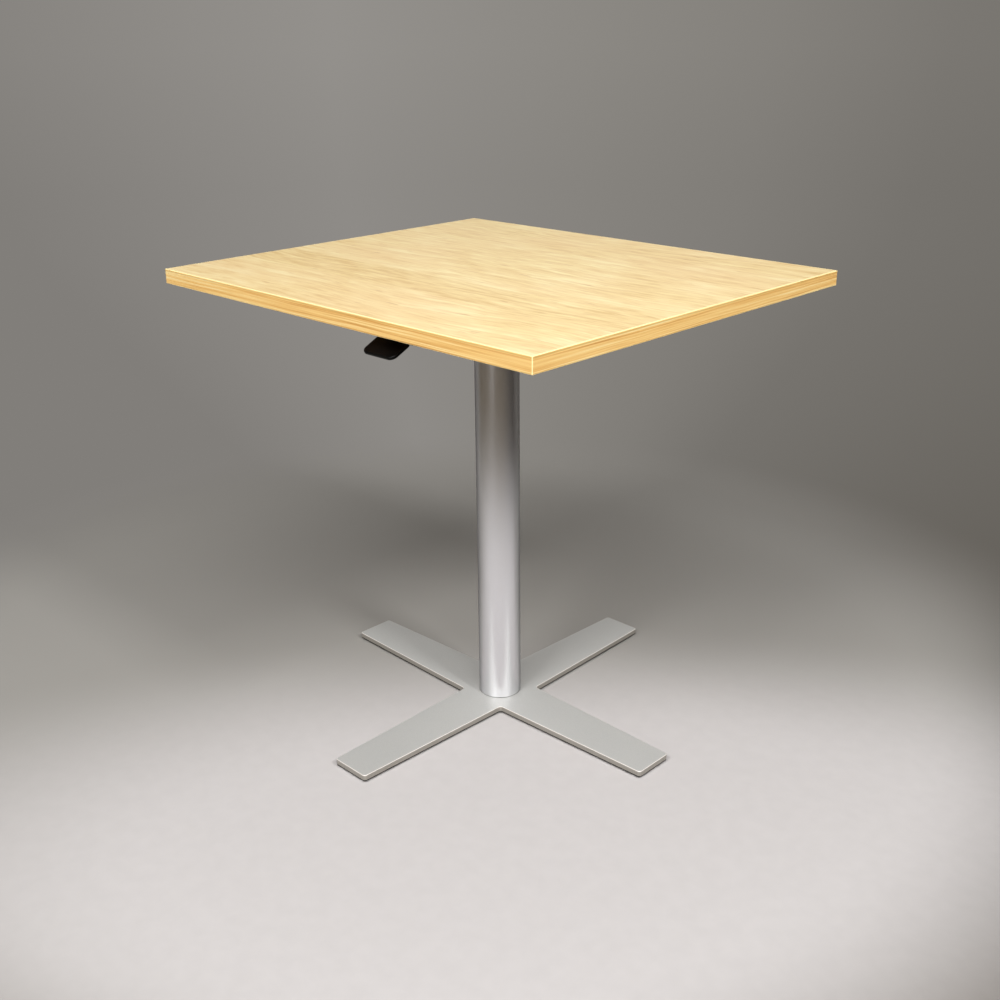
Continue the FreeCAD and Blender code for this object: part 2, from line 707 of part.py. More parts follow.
def head_hub():
    """Boss: tube socket and spigot below its web, release cavity above, weld bead outside."""
    boss = cylinder(hub_radius, hub_bottom, mount_underside)
    bead = Part.makeCone(
        hub_radius, hub_radius + HUB_WELD_LEG, HUB_WELD_LEG,
        Vector(0, 0, hub_flange_bottom - HUB_WELD_LEG))
    hub = boss.fuse(bead)
    hub = hub.cut(cylinder(inner_tube_radius + SEAT_FIT, hub_bottom - CUT, web_bottom))
    spigot_bottom = web_bottom - SPIGOT_DEPTH
    spigot_bore = spigot_radius - SPIGOT_WALL
    hub = hub.fuse(ring(spigot_radius, spigot_bore, spigot_bottom, web_bottom))
    tools = [
        cylinder(mechanism_radius, web_top, mount_underside + CUT),
        cylinder(rod_radius + SEAT_FIT, web_bottom - CUT, web_top + CUT),
        cylinder_x(
            ROCKER_PIN_DIAMETER / 2 + SEAT_FIT, -hub_radius, hub_radius, rocker_pivot_y, rocker_z),
    ]
    set_screw_hole = Part.makeCylinder(
        SET_SCREW_DIAMETER / 2 + SEAT_FIT, SOCKET_WALL + 2 * CUT,
        Vector(inner_tube_radius - CUT, 0, set_screw_level()), Vector(1, 0, 0))
    for angle in set_screw_angles():
        tool = set_screw_hole.copy()
        tool.rotate(Vector(0, 0, 0), Vector(0, 0, 1), angle)
        tools.append(tool)
    return hub.cut(tools + cable_slots())


def set_screw_angles():
    """Evenly round the hub, clear of the inner tube's groove at 90 degrees."""
    return [360.0 * index / SET_SCREW_COUNT - 90 for index in range(SET_SCREW_COUNT)]


def hub_set_screws():
    start = inner_tube_radius + SEAT_FIT
    end = hub_radius - SET_SCREW_RECESS
    body = cylinder(SET_SCREW_DIAMETER / 2, start, end)
    body = body.cut(hexagon(SET_SCREW_SOCKET, end - SET_SCREW_SOCKET_DEPTH, end + CUT))
    body.rotate(Vector(0, 0, 0), Vector(0, 1, 0), 90)
    body.translate(Vector(0, 0, set_screw_level()))
    screws = []
    for angle in set_screw_angles():
        screw = body.copy()
        screw.rotate(Vector(0, 0, 0), Vector(0, 0, 1), angle)
        screws.append(screw)
    return Part.makeCompound(screws)


def hub_screws():
    length = top_underside - HUB_SCREW_TIP_GAP - hub_flange_bottom
    screw = cap_screw(
        HUB_SCREW_DIAMETER, HUB_SCREW_HEAD, HUB_SCREW_HEAD_HEIGHT, length,
        HUB_SCREW_SOCKET, HUB_SCREW_SOCKET_DEPTH)
    return copies(screw, hub_screw_spots(), hub_flange_bottom)


# ================================================================ mounting plate and top
def mount_screw_spots():
    """Two columns of evenly spaced screws along the plate's sides."""
    reach = MOUNT_PLATE_SIZE / 2 - MOUNT_SCREW_INSET
    step = 2 * reach / (MOUNT_SCREW_ROWS - 1)
    rows = [-reach + step * index for index in range(MOUNT_SCREW_ROWS)]
    return [(side * reach, y) for side in (-1, 1) for y in rows]


def mount_plate():
    outline = rectangle(MOUNT_PLATE_SIZE, MOUNT_PLATE_SIZE, MOUNT_PLATE_CORNER)
    plate = prism(outline, mount_underside, top_underside)
    tools = []
    for x, y in mount_screw_spots():
        radius = MOUNT_SCREW_DIAMETER / 2 + CLEARANCE_HOLE_PLAY
        tools.append(cylinder(radius, mount_underside - CUT, top_underside + CUT, x, y))
    for x, y in hub_screw_spots():
        radius = HUB_SCREW_DIAMETER / 2 + SEAT_FIT
        tools.append(cylinder(radius, mount_underside - CUT, top_underside + CUT, x, y))
    return plate.cut(tools)


def mount_plate_screws():
    screw = wood_screw(
        MOUNT_SCREW_DIAMETER, MOUNT_SCREW_HEAD, MOUNT_SCREW_HEAD_HEIGHT,
        MOUNT_PLATE_THICKNESS + MOUNT_SCREW_BITE)
    return copies(screw, mount_screw_spots(), mount_underside)


def pilot_holes():
    tools = []
    for spots, diameter, bite in wood_screw_groups():
        top = top_underside + bite + PILOT_TIP_GAP
        for x, y in spots:
            tools.append(cylinder(diameter / 2 + SEAT_FIT, top_underside - CUT, top, x, y))
    return tools


def board_layer(bottom, top):
    """Rectangular sheet inside the four edge bands."""
    width = TOP_WIDTH - 2 * EDGE_BAND_THICKNESS
    depth = TOP_DEPTH - 2 * EDGE_BAND_THICKNESS
    return prism(rectangle(width, depth, 0), bottom, top)


def tabletop_core():
    return board_layer(core_bottom, laminate_bottom).cut(pilot_holes())


def tabletop_laminate():
    return board_layer(laminate_bottom, TABLE_HEIGHT)


def tabletop_backer():
    return board_layer(top_underside, core_bottom).cut(pilot_holes())


def rounded_slab():
    """The whole top's outer form, with every outer edge rounded."""
    slab = prism(rectangle(TOP_WIDTH, TOP_DEPTH, 0), top_underside, TABLE_HEIGHT)
    return slab.makeFillet(EDGE_ROUND, slab.Edges)


def edge_band(x_low, x_high, y_low, y_high):
    region = block(Vector(x_low, y_low, top_underside), Vector(x_high, y_high, TABLE_HEIGHT))
    return rounded_slab().common(region)


def edge_bands():
    """Long bands run the full width; side bands fit between them."""
    half_x = TOP_WIDTH / 2
    half_y = TOP_DEPTH / 2
    inner_x = half_x - EDGE_BAND_THICKNESS
    inner_y = half_y - EDGE_BAND_THICKNESS
    return {
        "edge_band_front": edge_band(-half_x, half_x, -half_y, -inner_y),
        "edge_band_rear": edge_band(-half_x, half_x, inner_y, half_y),
        "edge_band_left": edge_band(-half_x, -inner_x, -inner_y, inner_y),
        "edge_band_right": edge_band(inner_x, half_x, -inner_y, inner_y),
    }


# ================================================================ release levers
def link(width, y_a, z_a, radius_a, y_b, z_b, radius_b):
    """Flat lever along X's thickness: two round ends and the straight sides between them."""
    reach = math.hypot(y_b - y_a, z_b - z_a)
    heading = math.atan2(z_b - z_a, y_b - y_a)
    side = math.acos((radius_a - radius_b) / reach)
    corners = []
    for y, z, radius, turn in (
        (y_a, z_a, radius_a, -side),
        (y_b, z_b, radius_b, -side),
        (y_b, z_b, radius_b, side),
        (y_a, z_a, radius_a, side),
    ):
        angle = heading + turn
        corners.append((y + radius * math.cos(angle), z + radius * math.sin(angle), 0))
    half = width / 2
    ends = [
        cylinder_x(radius_a, -half, half, y_a, z_a),
        cylinder_x(radius_b, -half, half, y_b, z_b),
    ]
    return prism_x(corners, -half, half).fuse(ends)


def nipple_eye(pivot_y, pivot_z, arm, up, wire_side):
    """Long hole for the nipple and the slot that lets the wire out of the eye's tip."""
    near = pivot_z + up * arm
    far = near + up * NIPPLE_SLIDE
    hole_radius = nipple_radius + NIPPLE_PLAY
    half = EYE_WIDTH / 2 + CUT
    hole = cylinder_x(hole_radius, -half, half, pivot_y, near)
    hole = hole.fuse(cylinder_x(hole_radius, -half, half, pivot_y, far))
    low, high = sorted((near, far))
    hole = hole.fuse(block(
        Vector(-half, pivot_y - hole_radius, low), Vector(half, pivot_y + hole_radius, high)))
    low, high = sorted((near - up * WIRE_SLOT_DROP, far + up * (eye_radius + CUT)))
    reach = wire_side * (eye_radius + CUT)
    y_low, y_high = sorted((pivot_y, pivot_y + reach))
    half_slot = WIRE_SLOT_WIDTH / 2
    slot = block(Vector(-half_slot, y_low, low), Vector(half_slot, y_high, high))
    return [hole, slot]


def release_rocker():
    """Bell crank in the hub: the cable arm stands up, the nose presses the release pin."""
    hub_r = ROCKER_HUB_DIAMETER / 2
    half = ROCKER_HUB_LENGTH / 2
    y = rocker_pivot_y
    z = rocker_z
    nose = link(EYE_WIDTH, y, z, ROCKER_NOSE_RADIUS, 0, z, ROCKER_NOSE_RADIUS)
    eye_z = rear_cable_z + NIPPLE_SLIDE
    arm = link(EYE_WIDTH, y, z, hub_r, y, eye_z, eye_radius)
    body = cylinder_x(hub_r, -half, half, y, z).fuse([nose, arm])
    bore = cylinder_x(ROCKER_PIN_DIAMETER / 2 + RUNNING_FIT, -half - CUT, half + CUT, y, z)
    return body.cut([bore] + nipple_eye(y, z, ROCKER_CABLE_ARM, 1, -1))


def rocker_pin():
    chord = math.sqrt(hub_radius**2 - rocker_pivot_y**2) - ROCKER_PIN_INSET
    return cylinder_x(ROCKER_PIN_DIAMETER / 2, -chord, chord, rocker_pivot_y, rocker_z)


def paddle_blade():
    """Finger plate with a narrower neck, flat at the pivot, pointing to -Y."""
    neck = LEVER_HUB_LENGTH / 2
    half = PADDLE_WIDTH / 2
    corners = [
        (-neck, 0, 0),
        (-neck, -PADDLE_NECK, PADDLE_NECK_FILLET),
        (-half, -PADDLE_NECK, PADDLE_SHOULDER),
        (-half, -PADDLE_LENGTH, PADDLE_CORNER),
        (half, -PADDLE_LENGTH, PADDLE_CORNER),
        (half, -PADDLE_NECK, PADDLE_SHOULDER),
        (neck, -PADDLE_NECK, PADDLE_NECK_FILLET),
        (neck, 0, 0),
    ]
    level = PADDLE_THICKNESS / 2
    blade = prism(corners, -level, level)
    rims = []
    for edge in edges_at(blade, level) + edges_at(blade, -level):
        if edge.BoundBox.YMin < -SAME:
            rims.append(edge)
    return blade.makeFillet(PADDLE_EDGE_ROUND, rims)


def release_paddle():
    blade = paddle_blade()
    blade.rotate(Vector(0, 0, 0), Vector(1, 0, 0), PADDLE_SLOPE)
    hub_r = LEVER_HUB_DIAMETER / 2
    half = LEVER_HUB_LENGTH / 2
    hub = cylinder_x(hub_r, -half, half, 0, 0)
    eye_drop = -LEVER_CABLE_ARM - NIPPLE_SLIDE
    arm = link(EYE_WIDTH, 0, 0, hub_r, 0, eye_drop, eye_radius)
    body = hub.fuse([blade, arm])
    bore = cylinder_x(LEVER_PIN_DIAMETER / 2 + RUNNING_FIT, -half - CUT, half + CUT, 0, 0)
    body = body.cut([bore] + nipple_eye(0, 0, LEVER_CABLE_ARM, -1, 1))
    body.translate(Vector(LEVER_OFFSET, lever_y, lever_z))
    return body


def lever_pin():
    """Pivot pin with a groove for a retaining clip near each end."""
    radius = LEVER_PIN_DIAMETER / 2
    end = bracket_outside + LEVER_PIN_OVERHANG
    pin = cylinder_x(radius, -end, end, 0, 0)
    for side in (-1, 1):
        start, stop = sorted((
            side * (clip_ring_start - SEAT_FIT),
            side * (clip_ring_start + CLIP_RING_THICKNESS + SEAT_FIT)))
        sleeve = cylinder_x(radius + CUT, start, stop, 0, 0)
        core = cylinder_x(radius - CLIP_RING_GROOVE, start, stop, 0, 0)
        pin = pin.cut(sleeve.cut(core))
    pin.translate(Vector(LEVER_OFFSET, lever_y, lever_z))
    return pin


def lever_pin_clips():
    """Open rings in the pin's grooves, one outside each cheek."""
    bore = LEVER_PIN_DIAMETER / 2 - CLIP_RING_GROOVE + SEAT_FIT
    half_mouth = CLIP_RING_MOUTH / 2
    clips = []
    for side in (-1, 1):
        start, stop = sorted((
            side * clip_ring_start, side * (clip_ring_start + CLIP_RING_THICKNESS)))
        disc = cylinder_x(CLIP_RING_RADIUS, start, stop, 0, 0)
        hole = cylinder_x(bore, start - CUT, stop + CUT, 0, 0)
        mouth = block(
            Vector(start - CUT, -half_mouth, -CLIP_RING_RADIUS - CUT),
            Vector(stop + CUT, half_mouth, 0))
        clip = disc.cut([hole, mouth])
        clip.translate(Vector(LEVER_OFFSET, lever_y, lever_z))
        clips.append(clip)
    return Part.makeCompound(clips)


def bracket_screw_spots():
    reach = bracket_inside + BRACKET_SCREW_OFFSET
    rows = (bracket_front + BRACKET_SCREW_INSET, bracket_rear - BRACKET_SCREW_INSET)
    return [(LEVER_OFFSET + side * reach, y) for side in (-1, 1) for y in rows]


def lever_bracket():
    """Folded sheet: two cheeks for the pivot pin, the cable's rear wall, two screw flanges."""
    foot = front_cable_z - BRACKET_WALL_DROP
    cheek_outline = [
        (bracket_front, top_underside, 0),
        (bracket_front, lever_z - BRACKET_REACH, BRACKET_CORNER),
        (bracket_rear - BRACKET_CHEEK_FOOT, foot, BRACKET_CORNER),
        (bracket_rear, foot, 0),
        (bracket_rear, top_underside, 0),
    ]
    body = block(
        Vector(-bracket_inside, bracket_wall_front, foot),
        Vector(bracket_inside, bracket_rear, top_underside))
    for side in (-1, 1):
        start, stop = sorted((side * bracket_inside, side * bracket_outside))
        cheek = prism_x(cheek_outline, start, stop)
        rim = side * (bracket_inside + BRACKET_FLANGE)
        flange_outline = [
            (side * bracket_inside, bracket_front, 0),
            (rim, bracket_front, BRACKET_CORNER),
            (rim, bracket_rear, BRACKET_CORNER),
            (side * bracket_inside, bracket_rear, 0),
        ]
        flange = prism(flange_outline, top_underside - BRACKET_SHEET, top_underside)
        body = body.fuse([cheek, flange])
    pin_hole = cylinder_x(
        LEVER_PIN_DIAMETER / 2 + SEAT_FIT, -bracket_outside - CUT, bracket_outside + CUT,
        lever_y, lever_z)
    half_wire = WIRE_SLOT_WIDTH / 2
    wire_slot = block(
        Vector(-half_wire, bracket_wall_front - CUT, foot - CUT),
        Vector(half_wire, bracket_rear + CUT, front_cable_z + half_wire))
    body = body.removeSplitter().cut([pin_hole, wire_slot])
    body.translate(Vector(LEVER_OFFSET, 0, 0))
    tools = []
    for x, y in bracket_screw_spots():
        radius = BRACKET_SCREW_DIAMETER / 2 + CLEARANCE_HOLE_PLAY
        low = top_underside - BRACKET_SHEET - CUT
        tools.append(cylinder(radius, low, top_underside + CUT, x, y))
    return body.cut(tools)


def lever_bracket_screws():
    screw = wood_screw(
        BRACKET_SCREW_DIAMETER, BRACKET_SCREW_HEAD, BRACKET_SCREW_HEAD_HEIGHT,
        BRACKET_SHEET + BRACKET_SCREW_BITE)
    return copies(screw, bracket_screw_spots(), top_underside - BRACKET_SHEET)


# ================================================================ cable
def tangent_path(points):
    """Straight runs joined by tangent arcs, each as large as its runs allow."""
    edges = []
    start = points[0]
    for before, corner, after in zip(points, points[1:], points[2:]):
        back = unit(before - corner)
        ahead = unit(after - corner)
        reach = ARC_SHARE * min((before - corner).Length, (after - corner).Length)
        half_angle = back.getAngle(ahead) / 2
        radius = reach * math.tan(half_angle)
        print("cable arc radius", round(radius, 1))
        middle = corner + unit(back + ahead) * (radius / math.sin(half_angle) - radius)
        edges.append(Part.makeLine(start, corner + back * reach))
        edges.append(Part.Arc(corner + back * reach, middle, corner + ahead * reach).toShape())
        start = corner + ahead * reach
    edges.append(Part.makeLine(start, points[-1]))
    return Part.Wire(edges)


def swept(path, points, radius):
    profile = Part.Wire(Part.makeCircle(radius, points[0], unit(points[1] - points[0])))
    return path.makePipeShell([profile], True, False)


def cable_sheath():
    path = tangent_path(CABLE_ROUTE)
    bore = SHEATH_BORE / 2
    sheath = swept(path, CABLE_ROUTE, sheath_radius).cut(swept(path, CABLE_ROUTE, bore))
    expected = math.pi * (sheath_radius**2 - bore**2) * path.Length
    print("sheath length", round(path.Length, 1), "volume ratio", sheath.Volume / expected)
    return sheath


def ferrule(x, z, face, rearward):
    """Cup over a sheath end; its end wall sits against the face at y."""
    start, stop = sorted((face, face + rearward * FERRULE_LENGTH))
    cup = cylinder_y(ferrule_radius, start, stop, x, z)
    low, high = sorted((face + rearward * FERRULE_END, face + rearward * (FERRULE_LENGTH + CUT)))
    seat = cylinder_y(sheath_radius + SEAT_FIT, low, high, x, z)
    wire_hole = cylinder_y(SHEATH_BORE / 2, start - CUT, stop + CUT, x, z)
    return cup.cut([seat, wire_hole])


def cable_ferrules():
    return Part.makeCompound([
        ferrule(0, rear_cable_z, -hub_radius, -1),
        ferrule(LEVER_OFFSET, front_cable_z, bracket_rear, 1),
    ])


def nipple(x, y, z):
    half = NIPPLE_LENGTH / 2
    barrel = cylinder_x(nipple_radius, x - half, x + half, y, z)
    reach = nipple_radius + CUT
    return barrel.cut(cylinder_y(WIRE_DIAMETER / 2 + SEAT_FIT, y - reach, y + reach, x, z))


def cable_nipple_rear():
    return nipple(0, rocker_pivot_y, rear_cable_z)


def cable_nipple_front():
    return nipple(LEVER_OFFSET, lever_y, front_cable_z)


def cable_wire_rear():
    inner_end = REAR_EXIT.y - WIRE_ENGAGEMENT
    outer_end = rocker_pivot_y + nipple_radius
    return cylinder_y(WIRE_DIAMETER / 2, inner_end, outer_end, 0, rear_cable_z)


def cable_wire_front():
    inner_end = FRONT_EXIT.y + WIRE_ENGAGEMENT
    outer_end = lever_y - nipple_radius
    return cylinder_y(WIRE_DIAMETER / 2, outer_end, inner_end, LEVER_OFFSET, front_cable_z)


def clip_centre():
    return (CLIP_RUN[0] + CLIP_RUN[1]) * 0.5


def clip_angle():
    run = CLIP_RUN[1] - CLIP_RUN[0]
    return math.degrees(math.atan2(run.y, run.x))


def clip_screw_spot():
    angle = math.radians(clip_angle())
    x = clip_centre().x + CLIP_SCREW_OFFSET * math.sin(angle)
    y = clip_centre().y - CLIP_SCREW_OFFSET * math.cos(angle)
    return (x, y)


def cable_clip():
    """Loop round the sheath; its foot is screwed to the top, on the side away from the hub."""
    half = CLIP_WIDTH / 2
    loop_radius = sheath_radius + SEAT_FIT + CLIP_WALL
    rise = top_underside - clip_centre().z
    post = block(Vector(-half, -loop_radius, 0), Vector(half, loop_radius, rise))
    pad = block(
        Vector(-half, -CLIP_PAD_LENGTH, rise - CLIP_PAD_THICKNESS), Vector(half, loop_radius, rise))
    clip = cylinder_x(loop_radius, -half, half, 0, 0).fuse([post, pad]).removeSplitter()
    clip.rotate(Vector(0, 0, 0), Vector(0, 0, 1), clip_angle())
    clip.translate(clip_centre())
    run = unit(CLIP_RUN[1] - CLIP_RUN[0])
    bore_start = clip_centre() - run * CLIP_WIDTH
    bore = Part.makeCylinder(sheath_radius + SEAT_FIT, 2 * CLIP_WIDTH, bore_start, run)
    x, y = clip_screw_spot()
    radius = CLIP_SCREW_DIAMETER / 2 + CLEARANCE_HOLE_PLAY
    low = top_underside - CLIP_PAD_THICKNESS - CUT
    return clip.cut([bore, cylinder(radius, low, top_underside + CUT, x, y)])


def cable_clip_screw():
    screw = wood_screw(
        CLIP_SCREW_DIAMETER, CLIP_SCREW_HEAD, CLIP_SCREW_HEAD_HEIGHT,
        CLIP_PAD_THICKNESS + CLIP_SCREW_BITE)
    x, y = clip_screw_spot()
    screw.translate(Vector(x, y, top_underside - CLIP_PAD_THICKNESS))
    return screw


# ================================================================ the assembly
def all_pieces():
    makers = (
        base_plate, tube_foot_plug, column_screws,
        outer_tube, upper_guide_bushing, anti_rotation_key, stop_ring,
        inner_tube, lower_slide_ring,
        gas_cylinder, gas_cylinder_base, gas_rod_guide, gas_rod_seal,
        gas_piston, gas_piston_seal, gas_rod, rod_lock_nut, release_pin,
        head_hub, hub_flange, hub_set_screws, hub_screws,
        mount_plate, mount_plate_screws,
        tabletop_core, tabletop_laminate, tabletop_backer,
        release_rocker, rocker_pin,
        release_paddle, lever_pin, lever_pin_clips, lever_bracket, lever_bracket_screws,
        cable_sheath, cable_ferrules, cable_clip, cable_clip_screw,
        cable_nipple_rear, cable_nipple_front, cable_wire_rear, cable_wire_front,
    )
    pieces = {maker.__name__: maker() for maker in makers}
    pieces.update(edge_bands())
    for side, (x, y) in glide_spots().items():
        pieces["glide_pad_" + side] = glide_pad(x, y)
        pieces["glide_stem_" + side] = glide_stem(x, y)
    return pieces


os.makedirs("parts", exist_ok=True)
for piece_name, piece in all_pieces().items():
    piece.exportStep("parts/" + piece_name + ".step")
    print(piece_name, "solids", len(piece.Solids), "valid", piece.isValid())
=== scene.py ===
import json
import math

import bpy
from mathutils import Matrix, Vector


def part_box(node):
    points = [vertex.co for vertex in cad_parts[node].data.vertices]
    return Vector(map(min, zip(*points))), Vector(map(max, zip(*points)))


# Finishes, studio, lights and camera for the telescoping pedestal table.
# Metres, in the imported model's own frame: X along the top's long edges, the paddle at -Y.

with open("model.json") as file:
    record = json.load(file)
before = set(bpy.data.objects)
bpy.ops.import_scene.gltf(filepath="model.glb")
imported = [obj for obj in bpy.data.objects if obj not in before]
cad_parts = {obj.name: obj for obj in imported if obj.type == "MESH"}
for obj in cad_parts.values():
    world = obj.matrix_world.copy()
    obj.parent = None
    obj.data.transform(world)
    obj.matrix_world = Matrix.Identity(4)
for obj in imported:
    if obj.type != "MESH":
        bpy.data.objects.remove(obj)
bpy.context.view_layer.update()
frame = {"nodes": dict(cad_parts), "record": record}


def direction(heading, height):
    """Unit vector: heading anticlockwise from +X and height above level, in radians."""
    return Vector((
        math.cos(height) * math.cos(heading),
        math.cos(height) * math.sin(heading),
        math.sin(height)))


# ---------------------------------------------------------------- camera
CAMERA_PLACE = Vector((1.2832, -1.3022, 1.0826))
CAMERA_HEADING = math.radians(134.49)
CAMERA_PITCH = math.radians(-21.62)
CAMERA_ROLL = math.radians(-0.55)
CAMERA_LENS = 44.05  # on a 36 mm sensor

# ---------------------------------------------------------------- lights
# Square softboxes that face the table: heading anticlockwise from +X and height above level,
# both in degrees as the table sees the lamp, the distance, the lamp's side and its watts.
LAMPS = {
    "key_lamp": dict(heading=-40.0, height=47.0, distance=5.0, side=2.9, watts=146.0),
    "side_lamp_left": dict(heading=-81.0, height=42.0, distance=5.0, side=1.6, watts=138.0),
    "side_lamp_right": dict(heading=-6.0, height=40.0, distance=5.0, side=0.7, watts=106.0),
    "streak_lamp": dict(heading=-70.0, height=4.0, distance=4.0, side=0.25, watts=9.0),
    "back_lamp": dict(heading=128.0, height=30.0, distance=3.0, side=1.6, watts=3.0),
}
LAMP_TARGET = Vector((0.0, 0.0, 0.45))
WORLD_TINT = (1.0, 0.95, 0.88, 1.0)
WORLD_STRENGTH = 0.12

# ---------------------------------------------------------------- studio
# A round floor that curves up into a wall on every side.
FLOOR_RADIUS = 4.6
COVE_RADIUS = 1.6
WALL_HEIGHT = 3.4
COVE_STEPS = 12
WALL_SIDES = 96
# Painted pool of light: lighter paper in an oval, darker outside, further out the backdrop's glow.
PAINTED_POOL_MIDDLE = (0.38, -0.23, 0.0)
PAINTED_POOL_TURN = math.radians(44.5)  # of the oval's long axis
PAINTED_POOL_HALF_LENGTH = 1.33
PAINTED_POOL_HALF_WIDTH = 0.68
PAINTED_POOL_FADE_START = 0.42  # share of the way from the oval's middle to its rim
BACKDROP_MIDDLE = (-0.18, 0.01, 0.0)
BACKDROP_START = 0.84
BACKDROP_FULL = 1.30
# The backdrop's glow is graded from side to side, in one way behind the table and in another in
# front.
LEFT_WAY = direction(math.radians(224.5), 0.0)  # left and front as the photograph shows them
FRONT_WAY = direction(math.radians(-45.5), 0.0)
FRONT_FADE = (-0.45, 0.0)  # cosine to the front way
GLOW_HEIGHTS = (0.2, 0.9)  # the backdrop brightens between them
GLOW_LEVELS = (1.02, 1.10)

# ---------------------------------------------------------------- wood print
STRIP_LENGTH = 2.0
STRIP_WIDTH = 0.088
STRIP_SHIFT = (0.7, 3.0, 0.0)  # keeps the strips' ends off the top
STRIP_STAGGER = 0.12
STRIP_APART = 3.1  # distance across the grain between the figures of two strips
STRIP_DRIFT = 0.06  # sideways wander of the grain
BAND_DRIFT = 0.003
# The edge band's joint line, measured down from the top's surface
JOINT_START = 0.0016
JOINT_END = 0.0036
JOINT_FADE = 0.0006

# ---------------------------------------------------------------- rounded edges, and painted shade lines
SQUARE_ON = 0.995  # cosine to an axis, below which a surface belongs to a rounded edge
# Painted shadow line at the base plate's foot: its height and the fade at its top.
PLATE_SHADOW_LINE = 0.0029  # up the base plate's sides
PLATE_SHADOW_LINE_FADE = 0.0004  # the line's own upper part
# Painted shade line where the column stands on the base plate: its height and the fade above it.
TUBE_SHADE_LINE = 0.0009  # up the column from its lower end
TUBE_SHADE_LINE_FADE = 0.0005  # above the line

# ---------------------------------------------------------------- Blender's own numbers
MIX_SHARE, MIX_FIRST, MIX_SECOND, MIX_RESULT = 0, 6, 7, 2  # sockets of a colour Mix node
NOISE_LOW, NOISE_MEAN, NOISE_HIGH = 0.3, 0.5, 0.7  # nearly all of a noise lies in this range


def srgb(red, green, blue):
    """Linear colour with full alpha from 0 to 255 display values."""
    def linear(value):
        share = value / 255.0
        return share / 12.92 if share <= 0.04045 else ((share + 0.055) / 1.055) ** 2.4
    return (linear(red), linear(green), linear(blue), 1.0)


def grey(value):
    return (value, value, value, 1.0)


def scaled(colour, factor):
    """Linear colour made brighter or darker, with full alpha."""
    return tuple(min(1.0, channel * factor) for channel in colour[:3]) + (1.0,)


